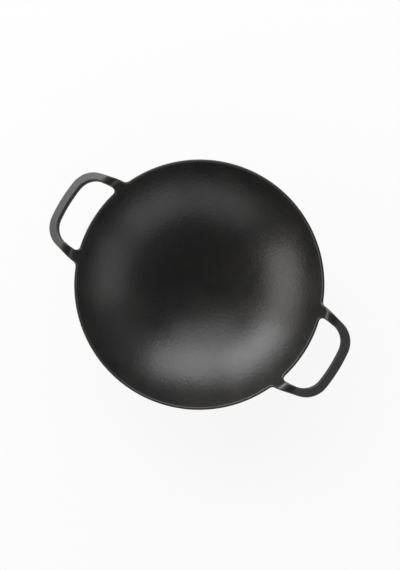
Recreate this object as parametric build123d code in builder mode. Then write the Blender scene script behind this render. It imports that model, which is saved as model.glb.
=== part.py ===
from build123d import *
import os
from math import cos, hypot, radians, sin, tan

# Kadai: a round-bottomed iron pan with a loop handle at each end, cast in one.
# Millimetres, +Z up. The origin is the middle of the flat foot, on the table,
# and the two handles lie along X.

# The bowl
rim_radius = 150.0
rim_slope = 53.0               # degrees, of the wall's straight top
rim_straight = 8.0             # width, seen from above, of the wall's straight top
wall = 4.2
base_thickness = 5.0
foot_radius = 48.0
foot_corner_radius = 6.0
flank_slope = 38.0             # degrees, where the flank above the foot runs into the ball outside

# A handle seen from above
handle_outset = 45.0           # from the rim to the outside of the grip
grip_width = 11.0
handle_span = 109.2            # over both arms, where they leave the rim
arm_width = 11.6
arm_flare = 12.5               # degrees, outer side of an arm
gap_flare = 4.0                # degrees, inner side of an arm
outer_corner_share = 0.667     # radius of the grip's outer corners, of the handle's outset
gap_corner_share = 0.69        # radius of the finger gap's outer corners, of the gap's depth
root_outer_radius = 7.0
root_inner_radius = 4.5

# A handle seen from the side
crest_outset = 14.0            # from the rim out to the handle's highest line
crest_radius = 12.5
crest_under_radius = 6.0
grip_droop = 26.0              # degrees, fall of the grip towards its outside
grip_thickness = 9.0

# Edges
lip_radius = 1.6               # of the rim and of every other edge that faces up
under_edge_radius = 2.0

# Each handle is parted from the bowl outside the rim, where the arms have left
# the curves of the roots, so that every parting face is a plain strip.
root_stub = 8.0
overrun = 5.0                  # of every cut past what it cuts
upright_share = 0.001          # a face's normal rises by less than this share on an upright side

# The inside is a part of a ball, up to the straight top of the wall.
slope = radians(rim_slope)
ball_edge_radius = rim_radius - rim_straight
bowl_curve_radius = ball_edge_radius / sin(slope)
ball_centre = base_thickness + bowl_curve_radius
ball_edge = (ball_edge_radius, ball_centre - bowl_curve_radius * cos(slope))
rim_height = ball_edge[1] + rim_straight * tan(slope)

# The outside is a ball about the same centre. A flatter arc joins it to the
# edge of the foot, so the wall thickens downwards.
outer_curve_radius = bowl_curve_radius + wall
slope_at_flank = radians(flank_slope)
flank_top = (
    outer_curve_radius * sin(slope_at_flank),
    ball_centre - outer_curve_radius * cos(slope_at_flank),
)

# The straight top of the wall runs on to the crest of the handle and turns
# over into the falling grip. These are the corners that the crest rounds.
droop = radians(grip_droop)
turn = slope + droop
crest_tangent = crest_radius * tan(turn / 2)
crest_to_corner = crest_tangent * cos(slope) - crest_radius * sin(slope)
top_corner_radius = rim_radius + crest_outset + crest_to_corner
top_corner = (top_corner_radius, rim_height + (top_corner_radius - rim_radius) * tan(slope))
under_corner = (
    top_corner[0] - (grip_thickness * cos(slope) - wall * cos(droop)) / sin(turn),
    top_corner[1] - (grip_thickness * sin(slope) + wall * sin(droop)) / sin(turn),
)
handle_reach = rim_radius + handle_outset
brim_radius = handle_reach + overrun
brim_top = (brim_radius, top_corner[1] - (brim_radius - top_corner[0]) * tan(droop))
brim_under = (brim_radius, brim_top[1] - grip_thickness / cos(droop))

gap_depth = handle_outset - grip_width
gap_reach = rim_radius + gap_depth
gap_half_width = handle_span / 2 - arm_width
parting_radius = rim_radius + root_stub
cut_height = top_corner[1] + overrun


def strip_corners(half_width, flare, length):
    """Corners of a strip along X that is half_width to each side at the rim and narrows outwards."""
    start = rim_radius / 2
    wide = half_width + (rim_radius - start) * tan(radians(flare))
    narrow = half_width - (length - rim_radius) * tan(radians(flare))
    return (start, -wide), (length, -narrow), (length, narrow), (start, wide)


# A handle without its gap, from inside the bowl to the outside of the grip
with BuildSketch() as handle_outline:
    Circle(handle_reach)
    with BuildLine():
        Polyline(*strip_corners(handle_span / 2, arm_flare, handle_reach + overrun), close=True)
    make_face(mode=Mode.INTERSECT)
    fillet(handle_outline.vertices().sort_by(Axis.X)[-2:], radius=outer_corner_share * handle_outset)

# The finger gap between the rim and the grip
with BuildSketch() as gap_outline:
    Circle(gap_reach)
    with BuildLine():
        Polyline(*strip_corners(gap_half_width, gap_flare, gap_reach + overrun), close=True)
    make_face(mode=Mode.INTERSECT)
    Circle(rim_radius, mode=Mode.SUBTRACT)
    fillet(gap_outline.vertices().sort_by(Axis.X)[-2:], radius=gap_corner_share * gap_depth)
    fillet(gap_outline.vertices().sort_by(Axis.X)[:2], radius=root_inner_radius)


def edges_of_sides(solid, facing):
    """Edges where the upright sides of solid meet the faces that look up (facing 1) or down (facing -1)."""
    sides = solid.faces().filter_by(lambda face: abs(face.normal_at().Z) < upright_share).edges()
    ends = solid.faces().filter_by(lambda face: facing * face.normal_at().Z > upright_share).edges()
    return ends.filter_by(lambda edge: edge in sides)


# The whole casting: one turned section as wide as the handles reach, cut to
# the outline that shows from above, with its edges rounded
with BuildPart() as casting:
    with BuildSketch(Plane.XZ) as section:
        with BuildLine():
            Polyline((0, base_thickness), (0, 0), (foot_radius, 0))
            TangentArc(flank_top, (foot_radius, 0), tangent=(-cos(slope_at_flank), -sin(slope_at_flank)))
            outer_sweep = rim_slope - flank_slope
            outside = CenterArc((0, ball_centre), outer_curve_radius, flank_slope - 90, outer_sweep)
            Polyline(outside @ 1, under_corner, brim_under, brim_top, top_corner, ball_edge)
            CenterArc((0, ball_centre), bowl_curve_radius, -90, rim_slope)
        make_face()
        roundings = (
            ((foot_radius, 0), foot_corner_radius),
            (top_corner, crest_radius),
            (under_corner, crest_under_radius),
        )
        for corner, corner_radius in roundings:
            fillet(section.vertices().sort_by_distance(corner)[0], radius=corner_radius)
    revolve(axis=Axis.Z)
    with BuildSketch() as plan:
        Circle(rim_radius)
        add(handle_outline.sketch)
        mirror(handle_outline.sketch, about=Plane.YZ)
        roots = plan.vertices().sort_by(lambda corner: abs(hypot(corner.X, corner.Y) - rim_radius))[:4]
        fillet(roots, radius=root_outer_radius)
        add(gap_outline.sketch, mode=Mode.SUBTRACT)
        mirror(gap_outline.sketch, about=Plane.YZ, mode=Mode.SUBTRACT)
    extrude(amount=cut_height, mode=Mode.INTERSECT)
    fillet(edges_of_sides(casting, 1), radius=lip_radius)
    fillet(edges_of_sides(casting, -1), radius=under_edge_radius)

with BuildPart() as bowl:
    add(casting.part)
    with BuildSketch():
        Circle(parting_radius)
    extrude(amount=cut_height, mode=Mode.INTERSECT)

os.makedirs("parts", exist_ok=True)
bowl.part.label = "bowl"
export_step(bowl.part, "parts/bowl.step")

for name, side in (("handle_left", Keep.BOTTOM), ("handle_right", Keep.TOP)):
    with BuildPart() as handle:
        add(casting.part)
        with BuildSketch():
            Circle(parting_radius)
        extrude(amount=cut_height, mode=Mode.SUBTRACT)
        split(bisect_by=Plane.YZ, keep=side)
    handle.part.label = name
    export_step(handle.part, f"parts/{name}.step")
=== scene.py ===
from math import atan2, cos, pi, radians, sin, sqrt, tan

import bmesh
import bpy
import numpy as np
from mathutils import Matrix, Vector


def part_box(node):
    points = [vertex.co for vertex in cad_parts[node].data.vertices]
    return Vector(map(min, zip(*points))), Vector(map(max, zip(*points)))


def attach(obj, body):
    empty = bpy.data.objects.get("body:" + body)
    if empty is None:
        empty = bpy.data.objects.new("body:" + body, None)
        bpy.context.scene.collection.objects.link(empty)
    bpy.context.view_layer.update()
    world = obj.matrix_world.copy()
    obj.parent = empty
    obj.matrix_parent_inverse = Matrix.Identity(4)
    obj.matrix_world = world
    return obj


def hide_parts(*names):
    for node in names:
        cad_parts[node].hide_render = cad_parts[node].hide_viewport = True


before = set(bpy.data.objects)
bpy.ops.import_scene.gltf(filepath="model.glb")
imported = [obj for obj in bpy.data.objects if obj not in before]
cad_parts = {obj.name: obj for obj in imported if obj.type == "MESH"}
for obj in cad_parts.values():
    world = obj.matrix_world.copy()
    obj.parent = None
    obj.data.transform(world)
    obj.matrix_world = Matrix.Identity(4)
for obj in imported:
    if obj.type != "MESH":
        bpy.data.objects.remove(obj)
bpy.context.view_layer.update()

MM = 0.001

# Sizes of the casting, in metres. What the frame gives is read from it.
RIM_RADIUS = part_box("bowl")[1].y
HANDLE_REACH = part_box("handle_right")[1].x
RIM_SLOPE = radians(53)        # of the wall's straight top
RIM_STRAIGHT = 8 * MM
WALL = 4.2 * MM
BASE_THICKNESS = 5 * MM
FOOT_RADIUS = 48 * MM
FOOT_CORNER_RADIUS = 6 * MM
FLANK_SLOPE = radians(38)
GRIP_WIDTH = 11 * MM
GRIP_THICKNESS = 9 * MM
HANDLE_HALF_SPAN = 54.6 * MM
ARM_FLARE = radians(12.5)
GAP_HALF_WIDTH = 43 * MM
GAP_FLARE = radians(4)
OUTER_CORNER_RADIUS = 30 * MM
GAP_CORNER_RADIUS = 23.5 * MM
ROOT_OUTER_RADIUS = 7 * MM
ROOT_INNER_RADIUS = 4.5 * MM
CREST_OUTSET = 14 * MM
CREST_RADIUS = 12.5 * MM
GRIP_DROOP = radians(26)
LEAN_SHARE = 0.2               # of the face's slope, by which the sides lean from upright
EDGE_RADIUS = 1.6 * MM

# How finely the skin is divided
BAND_MARGIN = 0.6 * MM         # by which the strip along every outline is wider than its rounded edges
DISC_RINGS = 96
GAP_RIM_STEPS = 14
FREE_RIM_STEPS = 50
ARM_STEPS = 6                  # across an arm, between its two strips
BAND_STEPS = 3                 # from the round middle out to the strip
PIECE_STEPS = (10, 12, 16, 14) # along the root curve, arm, corner and half the crossbar
EDGE_STEPS = 6
FACE_STEPS = 2                 # from the strip's inner line to the rounding, above
LOWER_STEPS = 3                # and below
SIDE_STEPS = 2
WELD = 0.001 * MM
WEAR_ATTRIBUTE = "worn_edge"   # 1 on rubbed edges, -1 on sides left as cast, 0 on the faces

# The seasoned iron
BLACK_TONE = (0.0115, 0.0115, 0.0115, 1)
BROWN_TONE = (0.0170, 0.0160, 0.0148, 1)
WORN_TONE = (0.050, 0.050, 0.052, 1)
WORN_SHARE = 0.35
SKIN_ROUGHNESS = (0.27, 0.33)
GRIP_ROUGHER = 0.14
SIDE_ROUGHER = 0.4
CLOUD = {"Scale": 28.0, "Detail": 4.0, "Roughness": 0.6}
CAST_GRAIN = (                 # noise, bump strength and bump depth of its ripples, its sand and its pits
    ({"Scale": 260.0, "Detail": 1.0, "Roughness": 0.5}, 0.8, 0.14 * MM),
    ({"Scale": 900.0, "Detail": 3.0, "Roughness": 0.6}, 0.5, 0.12 * MM),
    ({"Scale": 320.0, "Detail": 2.0, "Roughness": 0.5}, 0.5, 0.15 * MM),
)

# The photograph's frame: handles turned clockwise from level, seen from nearly straight above
IMAGE_WIDTH, IMAGE_HEIGHT = 400, 570
RIM_CENTRE_PX = (198.3, 283.8)
RIM_RADIUS_PX = 126.0
HANDLE_TURN = radians(32)
CAMERA_DISTANCE = 1.25
CAMERA_TILT = radians(4)
CAMERA_BEARING = radians(40)   # clockwise from the picture's right, of the side that the camera leans to
CLIP_START, CLIP_END = 0.05, 20
SENSOR = 36.0

# The studio: white paper, pale walls low down, and soft boxes round the pan
FLOOR_HALF = 4.0
PAPER_TONE = (0.82, 0.82, 0.82, 1)
PAPER_WHITE_SHARE = 0.88       # of the paper's look that is plain white, the rest shows light and shadow
WALL_FULL_TO = sin(radians(22))
CEILING_FROM = sin(radians(46))
WALL_STRENGTH = 0.42
CEILING_STRENGTH = 0.14
SOFTBOX_SIZE = (2.3, 1.4)
SOFTBOX_DISTANCE = 3.0
WARM, PLAIN = (1.0, 0.955, 0.91), (1.0, 1.0, 1.0)
SOFTBOXES = {                  # degrees clockwise from the picture's right, degrees of height, watts, tint
    "box_left": (180, 20, 32, WARM),
    "box_upper_left": (229, 19, 62, PLAIN),
    "box_upper": (277, 24, 41, PLAIN),
    "box_upper_high": (262, 45, 24, PLAIN),
    "box_right": (8, 20, 10.6, PLAIN),
    "box_lower_right": (60, 22, 12, PLAIN),
    "box_lower": (108, 23, 9, PLAIN),
}

# What follows from the sizes
BALL_EDGE = RIM_RADIUS - RIM_STRAIGHT
BALL_RADIUS = BALL_EDGE / sin(RIM_SLOPE)
BALL_CENTRE = BASE_THICKNESS + BALL_RADIUS
BALL_EDGE_HEIGHT = BALL_CENTRE - BALL_RADIUS * cos(RIM_SLOPE)
SIDE_LEAN = LEAN_SHARE * RIM_SLOPE
FACE_RIM = RIM_RADIUS - WALL * sin(SIDE_LEAN) / cos(RIM_SLOPE - SIDE_LEAN)      # where the inside meets the rim's end
OUTER_BALL_RADIUS = BALL_RADIUS + WALL
CREST = RIM_RADIUS + CREST_OUTSET
CREST_START = CREST - CREST_RADIUS * sin(RIM_SLOPE)
CREST_END = CREST + CREST_RADIUS * sin(GRIP_DROOP)
CREST_HEIGHT = (BALL_EDGE_HEIGHT + (CREST_START - BALL_EDGE) * tan(RIM_SLOPE)
                + CREST_RADIUS * (1 - cos(RIM_SLOPE)))
LIP_HEIGHT = BALL_EDGE_HEIGHT + (FACE_RIM - BALL_EDGE) * tan(RIM_SLOPE)
RIGHT = Vector((cos(HANDLE_TURN), sin(HANDLE_TURN), 0))         # along the picture
UP = Vector((-sin(HANDLE_TURN), cos(HANDLE_TURN), 0))


def face_slope(r):
    """Angle at which the upper face rises outwards at radius r: as a ball does, then steady, then round over a crest
    and steady again as it falls."""
    ball = np.arcsin(np.minimum(r, BALL_EDGE) / BALL_RADIUS)
    crest = np.arcsin(np.clip((CREST - r) / CREST_RADIUS, -sin(GRIP_DROOP), sin(RIM_SLOPE)))
    return np.where(r < CREST_START, ball, crest)


def face_height(r):
    """Height of the upper face at radius r: a ball, a cone, a round crest and a falling cone."""
    ball = BALL_CENTRE - np.sqrt(BALL_RADIUS ** 2 - np.minimum(r, BALL_EDGE) ** 2)
    cone = BALL_EDGE_HEIGHT + (r - BALL_EDGE) * tan(RIM_SLOPE)
    crest = CREST_HEIGHT - CREST_RADIUS * (1 - np.cos(face_slope(r)))
    fall = CREST_HEIGHT - CREST_RADIUS * (1 - cos(GRIP_DROOP)) - (r - CREST_END) * tan(GRIP_DROOP)
    return np.select([r < BALL_EDGE, r < CREST_START, r < CREST_END], [ball, cone, crest], fall)


def thickness(r):
    """The wall's thickness as far as the rim, growing smoothly to the grip's where the crest ends."""
    share = np.clip((r - FACE_RIM) / (CREST_END - FACE_RIM), 0, 1)
    return WALL + (GRIP_THICKNESS - WALL) * share * share * (3 - 2 * share)


def under_height(r):
    """Height of the bowl's outside: the flat foot, its rounded edge, an arc up the flank and a ball."""
    flank_top = np.array([sin(FLANK_SLOPE), -cos(FLANK_SLOPE)]) * OUTER_BALL_RADIUS + (0, BALL_CENTRE)
    normal = np.array([-sin(FLANK_SLOPE), cos(FLANK_SLOPE)])
    to_foot = flank_top - (FOOT_RADIUS, 0)
    flank_radius = -to_foot @ to_foot / (2 * normal @ to_foot)
    flank_r, flank_z = flank_top + flank_radius * normal
    corner_r = flank_r + sqrt((flank_radius - FOOT_CORNER_RADIUS) ** 2 - (FOOT_CORNER_RADIUS - flank_z) ** 2)
    corner_end = flank_r + (corner_r - flank_r) * flank_radius / (flank_radius - FOOT_CORNER_RADIUS)
    corner = FOOT_CORNER_RADIUS - np.sqrt(np.maximum(FOOT_CORNER_RADIUS ** 2 - (r - corner_r) ** 2, 0))
    flank = flank_z - np.sqrt(np.maximum(flank_radius ** 2 - (r - flank_r) ** 2, 0))
    ball = BALL_CENTRE - np.sqrt(OUTER_BALL_RADIUS ** 2 - np.minimum(r, OUTER_BALL_RADIUS) ** 2)
    return np.select([r < corner_r, r < corner_end, r < flank_top[0]], [0 * r, corner, flank], ball)


def upper_face(plan):
    """Places on the upper face over places in plan, and the face's unit normals there."""
    r = np.linalg.norm(plan, axis=-1, keepdims=True)
    slope = face_slope(r)
    outwards = plan / np.maximum(r, WELD)
    return (np.concatenate([plan, face_height(r)], axis=-1),
            np.concatenate([-np.sin(slope) * outwards, np.cos(slope)], axis=-1))


def lower_face(plan):
    """Places on the lower face opposite places of the upper one. Under the bowl it has its own outline, with a foot."""
    place, normal = upper_face(plan)
    r = np.linalg.norm(plan, axis=-1, keepdims=True)
    opposite = place - thickness(r) * normal
    under_bowl = under_height(np.linalg.norm(opposite[..., :2], axis=-1, keepdims=True))
    height = np.where(r < BALL_EDGE, under_bowl, opposite[..., 2:])
    return np.concatenate([opposite[..., :2], height], axis=-1)


def arc_points(centre, radius, start, end, steps, inward):
    """Points of an arc and its unit normals, which point to the centre where inward is 1 and away where it is -1."""
    angle = np.linspace(start, end, steps + 1)
    out = np.stack([np.cos(angle), np.sin(angle)], axis=1)
    return np.array(centre) + radius * out, -inward * out


def tangent_centre(distance, half_width, flare, offset):
    """Centre of a fillet at that distance from the axis, and offset to the side of an arm's edge line."""
    normal = np.array([sin(flare), cos(flare)])
    reach = normal @ (RIM_RADIUS, half_width) + offset
    along = sqrt(distance ** 2 - reach ** 2)
    return normal * reach + np.array([cos(flare), -sin(flare)]) * along


def outline(half_width, flare, reach, root_radius, corner_radius, side, rim_from, rim_steps):
    """A quarter of an outline of the upper face, from the rim at the angle rim_from to the crossbar's middle, as
    points and normals that point into the metal. Arcs and one straight line follow each other without a corner.
    side is 1 for the outside of the casting, where the root curve lies outside the arm, and -1 for the finger gap."""
    root = tangent_centre(FACE_RIM + root_radius, half_width, flare, side * root_radius)
    corner = tangent_centre(reach - corner_radius, half_width, flare, -corner_radius)
    square = pi / 2 - flare
    root_angle, corner_angle = atan2(root[1], root[0]), atan2(corner[1], corner[0])
    root_steps, arm_steps, corner_steps, bar_steps = PIECE_STEPS
    rim = arc_points((0, 0), FACE_RIM, rim_from, root_angle, rim_steps, 1)
    root_arc = arc_points(root, root_radius, root_angle + pi, square + (pi if side > 0 else 0), root_steps, -1)
    corner_arc = arc_points(corner, corner_radius, square, corner_angle, corner_steps, side)
    bar = arc_points((0, 0), reach, corner_angle, 0, bar_steps, side)
    share = np.linspace(0, 1, arm_steps + 1)[:, None]
    arm_points = root_arc[0][-1] * (1 - share) + corner_arc[0][0] * share
    arm = (arm_points, np.broadcast_to(corner_arc[1][0], arm_points.shape))
    runs = [rim, root_arc, arm, corner_arc, bar]
    return [np.concatenate([run[k][min(i, 1):] for i, run in enumerate(runs)]) for k in (0, 1)]


def into_the_metal(points, normals):
    """Unit vectors that lie in the upper face along an outline, square to it, and point into the metal."""
    face_normal = upper_face(points)[1]
    along = np.stack([-normals[:, 1], normals[:, 0], 0 * points[:, 0]], axis=1)
    along[:, 2] = -(along * face_normal).sum(axis=1) / face_normal[:, 2]
    inward = np.cross(face_normal, along)
    inward *= np.sign((inward[:, :2] * normals).sum(axis=1))[:, None]
    return inward / np.linalg.norm(inward, axis=1)[:, None]


def edge_band(points, normals):
    """The strip along an outline: out over the upper face, round its edge, down the side, round the lower edge and
    back in over the lower face. The side leans between upright and square to the faces. Returns the grid of places
    and, for each, its wear: 1 on the rubbed half of a rounding, -1 on the side, left as cast, and 0 on the faces.
    The points on the band's inner line in plan come last."""
    inward = into_the_metal(points, normals)
    face_normal = upper_face(points)[1]
    lean = (1 - LEAN_SHARE) * np.arctan2(inward[:, 2], face_normal[:, 2])[:, None]
    upper_cut = EDGE_RADIUS / np.tan(pi / 4 + lean / 2)
    lower_cut = EDGE_RADIUS / np.tan(pi / 4 - lean / 2)
    lower_end = lower_cut - thickness(np.linalg.norm(points, axis=1))[:, None] * np.tan(lean)
    width = np.maximum(upper_cut, lower_end) + BAND_MARGIN

    def rows(end, steps):
        share = np.linspace(0, 1, steps + 1)
        return points[:, None] + (width + (end - width) * share)[..., None] * inward[:, None, :2]

    upper, lower = rows(upper_cut, FACE_STEPS), rows(lower_end, LOWER_STEPS)
    face, low = upper_face(upper)[0], lower_face(lower)
    square = pi / 2 - lean
    step = np.linspace(0, 1, EDGE_STEPS + 1)

    def rounded(end, centre_side, angle):
        turn = np.cos(angle)[..., None] * face_normal[:, None] - np.sin(angle)[..., None] * inward[:, None]
        return end[:, None] + EDGE_RADIUS * (turn - centre_side * face_normal[:, None])

    top = rounded(face[:, -1], 1, square * step)
    bottom = rounded(low[:, -1], -1, square + (pi - square) * step)
    share = np.linspace(0, 1, SIDE_STEPS + 1)[None, 1:-1, None]
    side = top[:, -1:] * (1 - share) + bottom[:, :1] * share
    grid = np.concatenate([face[:, :-1], top, side, bottom, low[:, -2::-1]], axis=1)
    rubbed = EDGE_STEPS // 2 + 1
    columns = [FACE_STEPS, rubbed, grid.shape[1] - FACE_STEPS - LOWER_STEPS - 2 * rubbed, rubbed, LOWER_STEPS]
    wear = np.repeat([0.0, 1.0, -1.0, 1.0, 0.0], columns)[None, :] + np.zeros((len(points), 1))
    return grid, wear, upper[:, 0]


def between(first, last, steps):
    """Grid in plan from one row of points to another, straight in angle and in distance from the axis."""
    share = np.linspace(0, 1, steps + 1)[None, :]
    radius = [np.linalg.norm(row, axis=1)[:, None] for row in (first, last)]
    angle = [np.arctan2(row[:, 1], row[:, 0])[:, None] for row in (first, last)]
    r = radius[0] * (1 - share) + radius[1] * share
    a = angle[0] * (1 - share) + angle[1] * share
    return np.stack([r * np.cos(a), r * np.sin(a)], axis=2)


def casting_grids():
    """All grids of one quarter of the casting, as (places, wear), in metres."""
    outer_band, outer_wear, outer_line = edge_band(*outline(
        HANDLE_HALF_SPAN, ARM_FLARE, HANDLE_REACH, ROOT_OUTER_RADIUS, OUTER_CORNER_RADIUS, 1, pi / 2, FREE_RIM_STEPS))
    gap_band, gap_wear, gap_line = edge_band(*outline(
        GAP_HALF_WIDTH, GAP_FLARE, HANDLE_REACH - GRIP_WIDTH, ROOT_INNER_RADIUS,
        GAP_CORNER_RADIUS, -1, 0, GAP_RIM_STEPS))
    outer_rim, gap_rim = outer_line[:FREE_RIM_STEPS + 1], gap_line[:GAP_RIM_STEPS + 1]

    def on_disc(row):
        return row * (BALL_EDGE / np.linalg.norm(row, axis=1))[:, None]

    free = between(on_disc(outer_rim), outer_rim, BAND_STEPS)
    gap = between(on_disc(gap_rim), gap_rim, BAND_STEPS)
    outer_side = np.concatenate([free[-1], outer_line[FREE_RIM_STEPS + 1:]])
    gap_side = np.concatenate([gap[-1], gap_line[GAP_RIM_STEPS + 1:]])
    arm = between(gap_side, outer_side, ARM_STEPS)
    ring = np.concatenate([gap[:, 0], arm[0, 1:], free[::-1, 0][1:]])
    disc = ring[:, None] * np.linspace(0, 1, DISC_RINGS + 1)[None, :, None]
    grids = [(outer_band, outer_wear), (gap_band, gap_wear)]
    for plan in (disc, free, gap, arm):
        for places in (upper_face(plan)[0], lower_face(plan)):
            grids.append((places, np.zeros(places.shape[:2])))
    return grids


def quads(rows, columns, start):
    """Corners of every four-sided face of a grid whose points are counted row by row from start."""
    index = start + np.arange(rows * columns).reshape(rows, columns)
    return np.stack([index[:-1, :-1], index[1:, :-1], index[1:, 1:], index[:-1, 1:]], axis=2).reshape(-1, 4)


def skin_mesh(name, grids):
    """Mirrors the quarter to the whole casting, joins the grids where they meet and turns all faces outwards."""
    places, wear, faces, count = [], [], [], 0
    for flip_x in (1, -1):
        for flip_y in (1, -1):
            for grid, worn in grids:
                places.append((grid * (flip_x, flip_y, 1)).reshape(-1, 3))
                wear.append(worn.reshape(-1))
                faces.append(quads(*worn.shape, count))
                count += worn.size
    mesh = bpy.data.meshes.new(name)
    mesh.from_pydata(np.concatenate(places), [], np.concatenate(faces))
    worn_edge = mesh.attributes.new(WEAR_ATTRIBUTE, "FLOAT", "POINT")
    worn_edge.data.foreach_set("value", np.concatenate(wear))
    joined = bmesh.new()
    joined.from_mesh(mesh)
    bmesh.ops.remove_doubles(joined, verts=joined.verts, dist=WELD)
    bmesh.ops.dissolve_degenerate(joined, edges=joined.edges, dist=WELD)
    bmesh.ops.recalc_face_normals(joined, faces=joined.faces)
    joined.to_mesh(mesh)
    joined.free()
    mesh.shade_smooth()
    return mesh


def new_material(name):
    """An empty node material with its Principled shader, and a function that adds and joins nodes."""
    material = bpy.data.materials.new(name)
    material.use_nodes = True
    tree = material.node_tree
    tree.nodes.clear()
    output = tree.nodes.new("ShaderNodeOutputMaterial")

    def add(kind, settings=(), inputs=()):
        node = tree.nodes.new("ShaderNode" + kind)
        for key, value in dict(settings).items():
            setattr(node, key, value)
        for key, value in dict(inputs).items():
            if isinstance(value, bpy.types.NodeSocket):
                tree.links.new(value, node.inputs[key])
            else:
                node.inputs[key].default_value = value
        return node

    def finish(shader):
        tree.links.new(shader.outputs[0], output.inputs["Surface"])
        return material

    return add, finish


def ramp(add, value, low, high, to_low=0.0, to_high=1.0):
    """A value carried from the range low to high into another range, and held at its ends."""
    node = add("MapRange", {"clamp": True}, {"Value": value, "From Min": low, "From Max": high,
                                             "To Min": to_low, "To Max": to_high})
    return node.outputs["Result"]


def seasoned_iron():
    """Black cast iron under baked-on oil: a satin skin over fine sand grain, browner in clouds, worn grey on its
    edges, and rougher on the grips and the sides."""
    add, finish = new_material("seasoned_iron")
    place = add("TexCoord").outputs["Object"]
    cloud = add("TexNoise", {}, {"Vector": place, **CLOUD}).outputs["Fac"]
    wear = add("Attribute", {"attribute_name": WEAR_ATTRIBUTE}).outputs["Fac"]
    level = add("VectorMath", {"operation": "MULTIPLY"}, {0: place, 1: (1, 1, 0)}).outputs["Vector"]
    radius = add("VectorMath", {"operation": "LENGTH"}, {0: level}).outputs["Value"]

    tone = add("Mix", {"data_type": "RGBA"}, {"Factor": ramp(add, cloud, 0.35, 0.65), "A": BLACK_TONE, "B": BROWN_TONE})
    worn_tone = add("Mix", {"data_type": "RGBA"}, {"Factor": ramp(add, wear, 0.0, 1.0, 0.0, WORN_SHARE),
                                                   "A": tone.outputs["Result"], "B": WORN_TONE})
    rough = ramp(add, cloud, 0.3, 0.7, *SKIN_ROUGHNESS)
    on_grip = ramp(add, radius, CREST, CREST_END, 0.0, GRIP_ROUGHER)
    on_side = ramp(add, wear, -1.0, 0.0, SIDE_ROUGHER, 0.0)
    for rougher in (on_grip, on_side):
        rough = add("Math", {"operation": "ADD"}, {0: rough, 1: rougher}).outputs[0]
    relief = {}
    for noise, strength, depth in CAST_GRAIN:
        height = add("TexNoise", {}, {"Vector": place, **noise}).outputs["Fac"]
        bump = add("Bump", {}, {"Height": height, "Strength": strength, "Distance": depth, **relief})
        relief = {"Normal": bump.outputs["Normal"]}
    return finish(add("BsdfPrincipled", {}, {"Base Color": worn_tone.outputs["Result"], "Roughness": rough,
                                             "Specular IOR Level": 0.5, **relief}))


def pale_floor():
    """White studio paper, lifted to white for the eye and the metal's reflections, with the shadow kept."""
    add, finish = new_material("studio_paper")
    paper = add("BsdfDiffuse", {}, {"Color": PAPER_TONE})
    rays = add("LightPath").outputs
    seen = add("Math", {"operation": "MAXIMUM"}, {0: rays["Is Camera Ray"], 1: rays["Is Glossy Ray"]}).outputs[0]
    seen = add("Math", {"operation": "MAXIMUM"}, {0: seen, 1: rays["Is Transmission Ray"]}).outputs[0]
    lift = add("Math", {"operation": "MULTIPLY"}, {0: seen, 1: PAPER_WHITE_SHARE}).outputs[0]
    white = add("Emission", {}, {"Color": (1, 1, 1, 1), "Strength": 1.0})
    return finish(add("MixShader", {}, {0: lift, 1: paper.outputs[0], 2: white.outputs[0]}))


def area_light(name, place, aim, size, power, tint):
    """A soft box at place that faces aim, size[0] wide and size[1] high, in metres and watts."""
    data = bpy.data.lights.new(name, "AREA")
    data.shape, data.size, data.size_y = "RECTANGLE", size[0], size[1]
    data.energy, data.color = power, tint
    light = bpy.data.objects.new(name, data)
    light.location = place
    light.visible_camera = False
    light.rotation_euler = (Vector(aim) - Vector(place)).to_track_quat("-Z", "Y").to_euler()
    bpy.context.scene.collection.objects.link(light)
    return light


def add_camera():
    """Camera over the pan, leaning a little to the picture's lower right, with the rim's centre at its own pixel."""
    metres_per_pixel = RIM_RADIUS / RIM_RADIUS_PX
    shift_x = IMAGE_WIDTH / 2 - RIM_CENTRE_PX[0]
    shift_y = RIM_CENTRE_PX[1] - IMAGE_HEIGHT / 2
    aim = Vector((0, 0, LIP_HEIGHT)) + (RIGHT * shift_x + UP * shift_y) * metres_per_pixel
    aside = RIGHT * cos(CAMERA_BEARING) - UP * sin(CAMERA_BEARING)
    back = Vector((0, 0, 1)) * cos(CAMERA_TILT) + aside * sin(CAMERA_TILT)
    across = UP.cross(back).normalized()
    data = bpy.data.cameras.new("camera")
    data.sensor_width = SENSOR
    data.lens = SENSOR * CAMERA_DISTANCE / (IMAGE_HEIGHT * metres_per_pixel)
    data.clip_start, data.clip_end = CLIP_START, CLIP_END
    camera = bpy.data.objects.new("camera", data)
    above = back.cross(across)
    camera.matrix_world = Matrix((
        (across.x, above.x, back.x, aim.x + back.x * CAMERA_DISTANCE),
        (across.y, above.y, back.y, aim.y + back.y * CAMERA_DISTANCE),
        (across.z, above.z, back.z, aim.z + back.z * CAMERA_DISTANCE),
        (0, 0, 0, 1)))
    bpy.context.scene.collection.objects.link(camera)
    bpy.context.scene.camera = camera


def round_the_pan(toward_right, toward_up, elevation, distance):
    """A place seen from the rim's centre in a direction given along the picture's axes, and a height angle."""
    level = (RIGHT * toward_right + UP * toward_up).normalized()
    return level * cos(elevation) * distance + Vector((0, 0, LIP_HEIGHT + sin(elevation) * distance))


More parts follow.
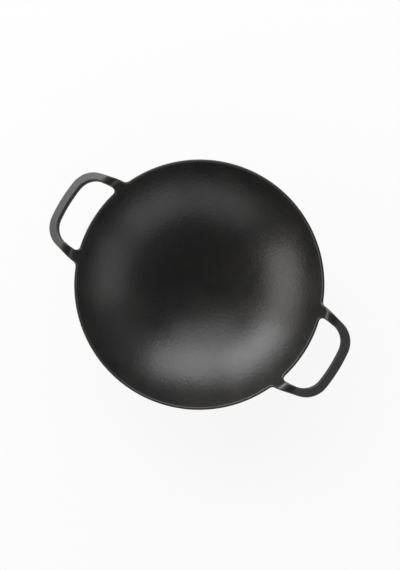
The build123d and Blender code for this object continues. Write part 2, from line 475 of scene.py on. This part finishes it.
def studio_world():
    """Pale walls all round, low down, under a dark ceiling."""
    world = bpy.data.worlds.new("studio")
    world.use_nodes = True
    tree = world.node_tree
    place = tree.nodes.new("ShaderNodeTexCoord")
    split = tree.nodes.new("ShaderNodeSeparateXYZ")
    height = tree.nodes.new("ShaderNodeMapRange")
    height.interpolation_type = "SMOOTHSTEP"
    for key, value in {"From Min": WALL_FULL_TO, "From Max": CEILING_FROM,
                       "To Min": WALL_STRENGTH, "To Max": CEILING_STRENGTH}.items():
        height.inputs[key].default_value = value
    tree.links.new(place.outputs["Generated"], split.inputs[0])
    tree.links.new(split.outputs["Z"], height.inputs["Value"])
    tree.links.new(height.outputs["Result"], tree.nodes["Background"].inputs["Strength"])
    tree.nodes["Background"].inputs["Color"].default_value = (1, 1, 1, 1)
    bpy.context.scene.world = world


def add_skin():
    """The whole casting in one skin, which replaces the three solids that it is parted into."""
    skin = bpy.data.objects.new("kadai_skin", skin_mesh("kadai_skin", casting_grids()))
    bpy.context.scene.collection.objects.link(skin)
    skin.data.materials.append(seasoned_iron())
    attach(skin, "root")
    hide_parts("bowl", "handle_left", "handle_right")


def add_floor():
    """A square of studio paper at height 0, under the foot."""
    mesh = bpy.data.meshes.new("floor")
    corners = [(x * FLOOR_HALF, y * FLOOR_HALF, 0) for x, y in ((-1, -1), (1, -1), (1, 1), (-1, 1))]
    mesh.from_pydata(corners, [], [(0, 1, 2, 3)])
    floor = bpy.data.objects.new("floor", mesh)
    bpy.context.scene.collection.objects.link(floor)
    mesh.materials.append(pale_floor())


def add_soft_boxes():
    """The soft boxes, all at one distance from the rim's centre and facing it."""
    for name, (bearing, elevation, power, tint) in SOFTBOXES.items():
        place = round_the_pan(cos(radians(bearing)), -sin(radians(bearing)), radians(elevation), SOFTBOX_DISTANCE)
        area_light(name, place, (0, 0, LIP_HEIGHT), SOFTBOX_SIZE, power, tint)


add_skin()
add_floor()
add_soft_boxes()
studio_world()
bpy.context.scene.view_settings.view_transform = "Standard"
add_camera()
